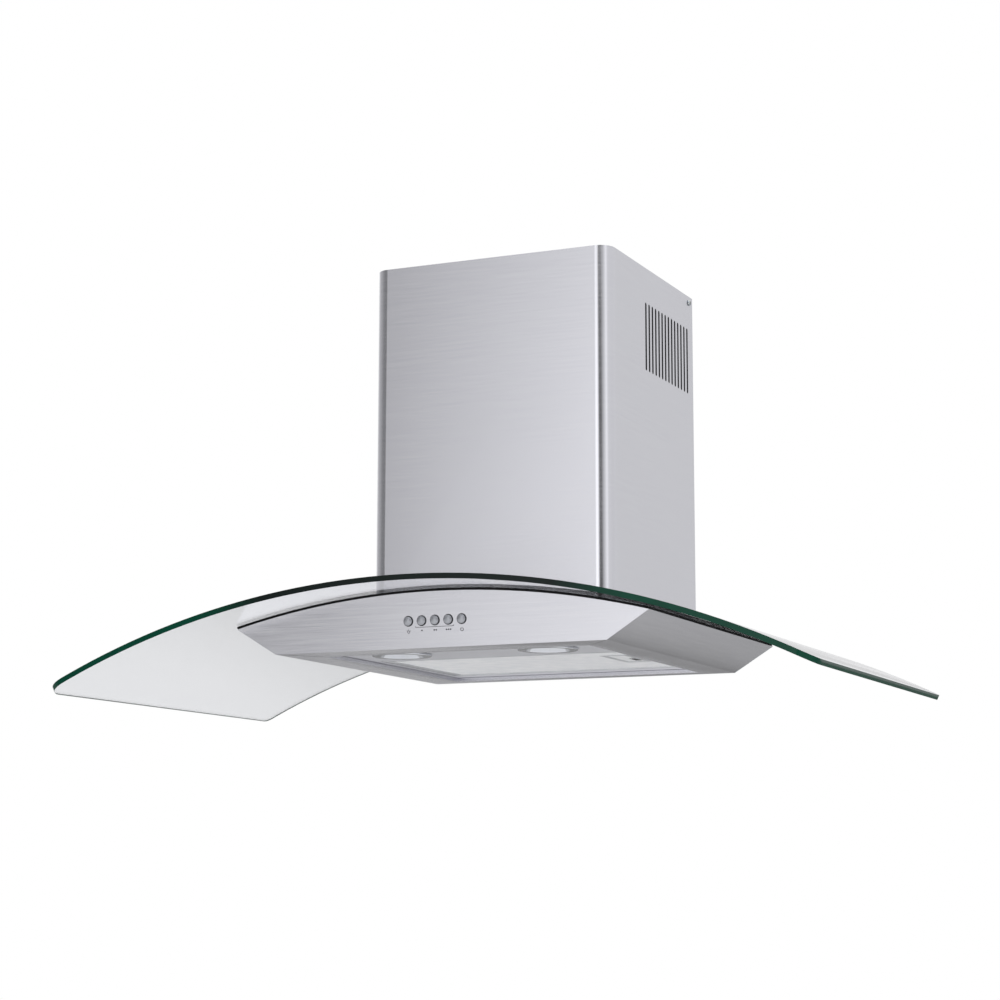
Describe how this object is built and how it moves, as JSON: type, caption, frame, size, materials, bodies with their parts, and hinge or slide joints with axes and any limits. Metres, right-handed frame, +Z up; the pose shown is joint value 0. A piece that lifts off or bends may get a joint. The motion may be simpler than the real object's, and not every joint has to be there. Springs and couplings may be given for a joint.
{
  "type": "wall-mounted range hood",
  "caption": "Wall range hood with a curved glass visor, slotted steel chimney cover, push buttons, downlights, swing-down grease filter, blower and duct damper.",
  "frame": {"origin": "on the wall plane, in the middle of the canopy's flat back panel, 30 mm above the canopy's lower face", "axes": "+X to the right as one faces the hood, +Y back into the wall, +Z up"},
  "size_m": [0.898, 0.497, 0.5085],
  "materials": {
    "stainless": "fine level brushed grain, satin",
    "galvanised": "zinc-coated sheet, dull with a faint spangle",
    "aluminium": "pressed aluminium, satin",
    "zinc": "bright zinc-plated steel",
    "chrome": "bright chrome plate",
    "glass": "clear toughened float glass, polished edge with a green tint",
    "frosted_glass": "acid-frosted glass",
    "rubber": "matt black rubber",
    "lead_sheath": "satin black cable sheath",
    "black_plastic": "moulded matt plastic",
    "grey_plastic": "moulded matt plastic",
    "white_plastic": "moulded matt plastic"
  },
  "bodies": {
    "hood": {"canopy_shell": "stainless", "bottom_panel": "stainless", "chimney_cover": "stainless", "canopy_back_panel": "galvanised", "canopy_top_plate": "galvanised", "chimney_wall_bracket": "galvanised", "hanger_plate": "galvanised", "blower_box": "galvanised", "motor_bracket": "galvanised", "capacitor": "aluminium", "lamp_holder_left": "aluminium", "lamp_holder_right": "aluminium", "glass_bolt_1": "zinc", "glass_bolt_2": "zinc", "glass_bolt_3": "zinc", "glass_bolt_4": "zinc", "chimney_screw_left": "zinc", "chimney_screw_right": "zinc", "hanger_screw_left": "zinc", "hanger_screw_right": "zinc", "collar_screw_1": "zinc", "collar_screw_2": "zinc", "collar_screw_3": "zinc", "collar_screw_4": "zinc", "damper_pin": "zinc", "lamp_bezel_left": "chrome", "lamp_bezel_right": "chrome", "glass_visor": "glass", "lamp_lens_left": "frosted_glass", "lamp_lens_right": "frosted_glass", "lamp_bulb_left": "frosted_glass", "lamp_bulb_right": "frosted_glass", "glass_gasket": "rubber", "vent_liner_left": "rubber", "vent_liner_right": "rubber", "motor_lead": "lead_sheath", "switch_lead": "lead_sheath", "lamp_lead_left": "lead_sheath", "lamp_lead_right": "lead_sheath", "motor": "black_plastic", "outlet_collar": "black_plastic", "cable_gland": "black_plastic", "switch_housing": "black_plastic", "scroll_housing": "grey_plastic", "junction_box": "white_plastic", "junction_box_lid": "white_plastic"},
    "button_1": {"push_button_1": "chrome"},
    "button_2": {"push_button_2": "chrome"},
    "button_3": {"push_button_3": "chrome"},
    "button_4": {"push_button_4": "chrome"},
    "button_5": {"push_button_5": "chrome"},
    "filter": {"filter_frame": "aluminium", "filter_mesh": "aluminium", "filter_latch_plate": "aluminium", "filter_latch_spring": "zinc"},
    "latch": {"filter_latch": "black_plastic"},
    "wheel": {"blower_wheel": "grey_plastic", "motor_shaft": "zinc"},
    "damper_front": {"damper_flap_front": "black_plastic"},
    "damper_rear": {"damper_flap_rear": "black_plastic"}
  },
  "joints": [
    {"name": "button_1_press", "type": "slide", "parent": "hood", "child": "button_1", "axis": [0, 0.9954, 0.0958], "range_m": [0, 0.0025], "stiffness_N_per_m": 500, "springref_m": -0.0015},
    {"name": "button_2_press", "type": "slide", "parent": "hood", "child": "button_2", "axis": [0, 0.9954, 0.0958], "range_m": [0, 0.0025], "stiffness_N_per_m": 500, "springref_m": -0.0015},
    {"name": "button_3_press", "type": "slide", "parent": "hood", "child": "button_3", "axis": [0, 0.9954, 0.0958], "range_m": [0, 0.0025], "stiffness_N_per_m": 500, "springref_m": -0.0015},
    {"name": "button_4_press", "type": "slide", "parent": "hood", "child": "button_4", "axis": [0, 0.9954, 0.0958], "range_m": [0, 0.0025], "stiffness_N_per_m": 500, "springref_m": -0.0015},
    {"name": "button_5_press", "type": "slide", "parent": "hood", "child": "button_5", "axis": [0, 0.9954, 0.0958], "range_m": [0, 0.0025], "stiffness_N_per_m": 500, "springref_m": -0.0015},
    {"name": "filter_swing", "type": "hinge", "parent": "hood", "child": "filter", "pos_m": [-0.148, -0.149, -0.0234], "axis": [0, 1, 0], "range_deg": [0, 80]},
    {"name": "latch_slide", "type": "slide", "parent": "filter", "child": "latch", "axis": [-1, 0, 0], "range_m": [0, 0.005], "stiffness_N_per_m": 400, "springref_m": -0.003, "deforming": ["filter_latch_spring"]},
    {"name": "wheel_spin", "type": "hinge", "parent": "hood", "child": "wheel", "pos_m": [0, -0.105, 0.135], "axis": [1, 0, 0], "continuous": true},
    {"name": "damper_front_lift", "type": "hinge", "parent": "hood", "child": "damper_front", "pos_m": [0, -0.16, 0.294], "axis": [-1, 0, 0], "range_deg": [0, 75]},
    {"name": "damper_rear_lift", "type": "hinge", "parent": "hood", "child": "damper_rear", "pos_m": [0, -0.16, 0.294], "axis": [1, 0, 0], "range_deg": [0, 75]}
  ]
}
